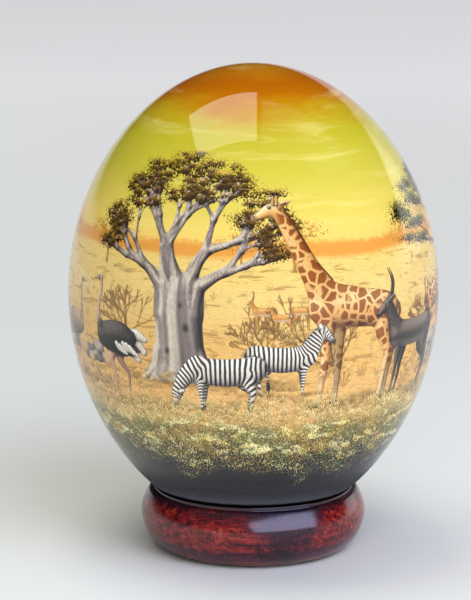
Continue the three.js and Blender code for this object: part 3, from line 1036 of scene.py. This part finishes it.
# Foreground: straw about the feet, then a thick belt of fine bristling grass over dark earth.
# Low on the foot, by the ring, the colour is painted shadow with painted reflection just above it.
footing = lacquer.ramp(painted("straw")["Fac"], 0.05, 0.5)
picture = lay_tufts(picture, 3.4, 15, 0.75, 0.35, 52, 95, "6b4a1c", "dcb565", footing)
picture = lay_tufts(picture, 2.1, 11, 0.75, 0.35, 52, 95, "7d5a26", "f0cd80", footing)
higher = lacquer.vector("ADD", spot, (0, 0, 1.7))
over_it = lacquer.noise(lacquer.stretch(higher, 1, 1, 1.4), 0.125, 3.0, 0.6, 0.4)
hummock = texture(1.4, 0.125, 3.0, 0.6, 0.4)
mound_top = lacquer.ramp(lacquer.calc("SUBTRACT", hummock, over_it), -0.03, 0.16)
kinds = lacquer.add("ShaderNodeTexNoise", {"Vector": spot, "Scale": 0.13, "Detail": 2.0}).outputs[1]
kinds = lacquer.add("ShaderNodeSeparateColor", {0: kinds}).outputs
blades = texture(0.26, 2.7, 2.0, 0.75, 0.15)
tips = texture(0.4, 3.1, 2.0, 0.7)
belt_height = lacquer.wander(height, lacquer.noise(spot, 0.06, 4.0, 0.6), 22.0)
# Dark earth, and lower on the foot painted light: a near-black painted shadow up to where the egg meets the
# ring's lip, with a blue-grey band of painted reflection just above it.
soil_seat_shadow_and_sheen = lacquer.steps(height, 7, 64, (
    (8, "050508"), (22.9, "060609"), (23.7, "62636d"), (25.5, "53545b"), (29, "3d3e43"), (33, "26272a"),
    (38, "222225"), (46, "38382a"), (54, "6f6334"), (62, "c49c58")))
soil_seat_shadow_and_sheen = lacquer.dim(soil_seat_shadow_and_sheen, lacquer.ramp(fine, -0.6, 0.9))
picture = lacquer.stain(picture, soil_seat_shadow_and_sheen, lacquer.wander(belt_height, blades, 14.0), 60, 53)
low_straw = lacquer.stain("858544", "b08a38", kinds[0], 0.42, 0.6)
high_straw = lacquer.stain("f9f2aa", "f6d75c", kinds[1], 0.42, 0.6)
straw = lacquer.mix(mound_top, low_straw, high_straw)
straw = lacquer.dim(lacquer.stain(straw, "f3d68c", height, 53, 61), lacquer.scaled(tips, 1.6, 0.15))
thick = lacquer.band(belt_height, 34, 50, 56, 67)
density = lacquer.times(thick, lacquer.scaled(mound_top, 0.5, 0.5))
picture = lay_tufts(picture, 4.4, 20, 0.45, 0.35, 46, 66, low_straw, straw, 0.85)
picture = lay_tufts(picture, 2.9, 14, 0.45, 0.35, 44, 64, low_straw, straw, 0.85)
sparse = lacquer.ramp(thick, 0.0, 0.1)
picture = lacquer.stain(picture, straw, lacquer.scaled(density, 0.17, blades), 0.60, 0.66, sparse)
glint = lacquer.scaled(density, 0.12, tips)
picture = lacquer.stain(picture, "fbf3b8", glint, 0.65, 0.70, lacquer.times(sparse, 0.85))

# Lacquer: slight waves in a thick gloss, wrinkled over the crown and satin near the ring.
wrinkle = texture(2.5, 0.12, 3.0, 0.6, 1.0)
wrinkle = lacquer.times(wrinkle, lacquer.times(lacquer.ramp(height, 138, 150), 0.12))
relief = lacquer.scaled(lacquer.noise(spot, 0.03, 2.0), 0.6, wrinkle)
bump = lacquer.add("ShaderNodeBump", {"Height": relief, "Strength": 0.12, "Distance": 0.001})
gloss = lacquer.scaled(lacquer.ramp(height, 26, 37), 0.93, 0.07)
egg_mesh.materials.append(lacquer.finish(
    Base_Color=picture, Roughness=0.5, Specular_IOR_Level=0.0, Coat_Weight=gloss, Coat_Roughness=0.03,
    Coat_IOR=1.5, Normal=bump.outputs[0]))
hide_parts("egg")
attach(egg, "root")


# ---------------------------------------------------------------------------
# Stand: a low ring turned on a lathe from one block of hardwood, bun-shaped outside, with a fine
# groove and a low lip round its hollowed seat, stained reddish mahogany and varnished.
FOOT_RADIUS = 28.7
BELLY_RADIUS = 38.8
BELLY_HEIGHT = 13.2
SHOULDER_RADIUS = 36.4
SHOULDER_HEIGHT = 20.0
GROOVE_RADIUS = 34.75
GROOVE_HEIGHT = 20.5
LIP_RADIUS = 34.55
LIP_HEIGHT = 21.8
SEAT_GAP = 0.5
SEAT_TOP = 21.6
SEAT_BOTTOM = 13.6
BORE_CHAMFER = 0.8
STAND_SEGMENTS = 288
HIGHLIGHT_TINT_MIDDLE = (12.0, -36.0, 18.5)


def arc(start, corner, end, count):
    """Points of a round course from start to end that leaves and arrives towards corner."""
    t = np.linspace(0, 1, count + 1)[1:, None]
    start, corner, end = (np.array(point, float) for point in (start, corner, end))
    return list((1 - t) ** 2 * start + 2 * t * (1 - t) * corner + t ** 2 * end)


def seat_radius(z):
    """The egg's radius at a height, and the gap round it."""
    return float(np.interp((z - EGG_MIDDLE) / EGG_HALF, WAY, OUTLINE)) + SEAT_GAP


quarter = np.linspace(0, math.pi / 2, 25)
profile = [(FOOT_RADIUS + (BELLY_RADIUS - FOOT_RADIUS) * math.sin(a), BELLY_HEIGHT * (1 - math.cos(a)))
           for a in quarter]
profile += arc(profile[-1], (BELLY_RADIUS, 15.6), (SHOULDER_RADIUS, SHOULDER_HEIGHT), 12)
profile += arc(profile[-1], (36.0, 20.8), (35.15, 20.8), 6)
profile += arc(profile[-1], (GROOVE_RADIUS, 20.7), (GROOVE_RADIUS, GROOVE_HEIGHT), 3)
profile += arc(profile[-1], (34.6, 20.4), (LIP_RADIUS, 21.15), 4)
lip_inner = (LIP_RADIUS + seat_radius(SEAT_TOP)) / 2
profile += arc(profile[-1], (LIP_RADIUS, LIP_HEIGHT), (lip_inner, LIP_HEIGHT), 4)
profile += [(seat_radius(z), z) for z in np.linspace(SEAT_TOP, SEAT_BOTTOM, 14)]
bore = seat_radius(SEAT_BOTTOM)
profile += [(bore, 10.0), (bore, 6.0), (bore, BORE_CHAMFER), (bore + BORE_CHAMFER, 0)]

stand_form = bmesh.new()
rim = [stand_form.verts.new((0, -r / MM, z / MM)) for r, z in profile]
sides = [stand_form.edges.new((a, b)) for a, b in zip(rim, rim[1:] + rim[:1])]
bmesh.ops.spin(stand_form, geom=rim + sides, cent=(0, 0, 0), axis=(0, 0, 1), angle=2 * math.pi,
               steps=STAND_SEGMENTS, use_merge=True, use_duplicate=False)
bmesh.ops.remove_doubles(stand_form, verts=stand_form.verts, dist=1e-7)
bmesh.ops.recalc_face_normals(stand_form, faces=stand_form.faces)
stand = put_down("turned_ring", stand_form)
stand.data.shade_smooth()
stand.data.set_sharp_from_angle(angle=math.radians(50))

wood = Finish("stained_wood")
place = wood.stretch(wood.add("ShaderNodeTexCoord").outputs["Object"], MM, MM, MM)
rise = wood.add("ShaderNodeSeparateXYZ", {0: place}).outputs[2]
bent = wood.shift(place, 0.03, 5.0)
grain = wood.noise(wood.stretch(bent, 0.05, 1, 1), 0.6, 6.0, 0.72, 0.2)
broad = wood.noise(wood.stretch(bent, 0.22, 0.6, 1), 0.09, 3.0, 0.6)
ragged = wood.noise(wood.stretch(place, 0.3, 1, 1), 0.5, 5.0, 0.75)
flecks = wood.noise(place, 2.1, 3.0, 0.75)
blotch = wood.noise(wood.stretch(place, 0.8, 0.8, 1), 0.10, 3.0, 0.65)
pore_noise = wood.noise(wood.stretch(place, 1, 1, 0.28), 1.6, 3.0, 0.65)
timber = wood.steps(grain, 0.30, 0.72, (
    (0.30, "12050a"), (0.40, "420a12"), (0.47, "6c1016"), (0.53, "8c1c1c"), (0.60, "9c3028"),
    (0.66, "a84832"), (0.72, "841a18")))
timber = wood.stain(timber, "98382c", broad, 0.46, 0.34, 0.5)
timber = wood.stain(timber, "4e1226", broad, 0.54, 0.66, 0.5)
band_spot = wood.wander(rise, ragged, 9.0)
timber = wood.mix(wood.times(wood.band(band_spot, 2.0, 4.0, 5.5, 8.0), 0.8), timber, "2c0b2c")
timber = wood.stain(timber, "1f131c", band_spot, 17.9, 20.6, 0.88)
# Painted reflection tint: where the ring mirrors its window, the wood is painted a speckled dark blue, so
# that the highlight there reads blue.
highlight_tint = wood.wander(wood.gauge("DISTANCE", place, HIGHLIGHT_TINT_MIDDLE), ragged, 10.0)
speckled = wood.scaled(wood.ramp(flecks, 0.64, 0.46), 0.55, 0.4)
timber = wood.stain(timber, "0e0c28", highlight_tint, 17.0, 8.0, speckled)
# Painted shadow: the lowest few mm of the ring are darkened where it meets the table.
timber = wood.stain(timber, "1d1218", band_spot, 2.8, 0.8, 0.95)
timber = wood.stain(timber, "14070c", blotch, 0.60, 0.68, 0.8)
pore_spot = wood.scaled(wood.band(band_spot, 5.0, 8.0, 10.0, 14.0), 0.035, pore_noise)
pores = wood.ramp(pore_spot, 0.58, 0.64)
timber = wood.mix(wood.times(pores, 0.85), timber, "16060e")
timber = wood.dim(timber, wood.scaled(flecks, 2.2, -0.18))
relief = wood.scaled(pores, -0.5, wood.calc("ADD", flecks, wood.times(grain, 0.5)))
bump = wood.add("ShaderNodeBump", {"Height": relief, "Strength": 0.3, "Distance": 0.0003})
stand.data.materials.append(wood.finish(
    Base_Color=timber, Roughness=wood.scaled(broad, 0.3, 0.25), Specular_IOR_Level=0.0, Coat_Weight=1.0,
    Coat_Roughness=0.16, Coat_IOR=1.52, Normal=bump.outputs[0]))

# One low window that only the ring's varnish mirrors. It lights nothing else.
ring_window = lamp("ring_window", (0.51, -0.78, 0.40), (0, 0, 0.02), 1.3, 0.52, 12.5, (0.64, 0.68, 1.0))
ring_window.visible_diffuse = False
window_side_pieces = bpy.data.collections.new("window_side_pieces")
window_side_pieces.objects.link(stand)
ring_window.light_linking.receiver_collection = window_side_pieces
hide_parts("stand")
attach(stand, "root")
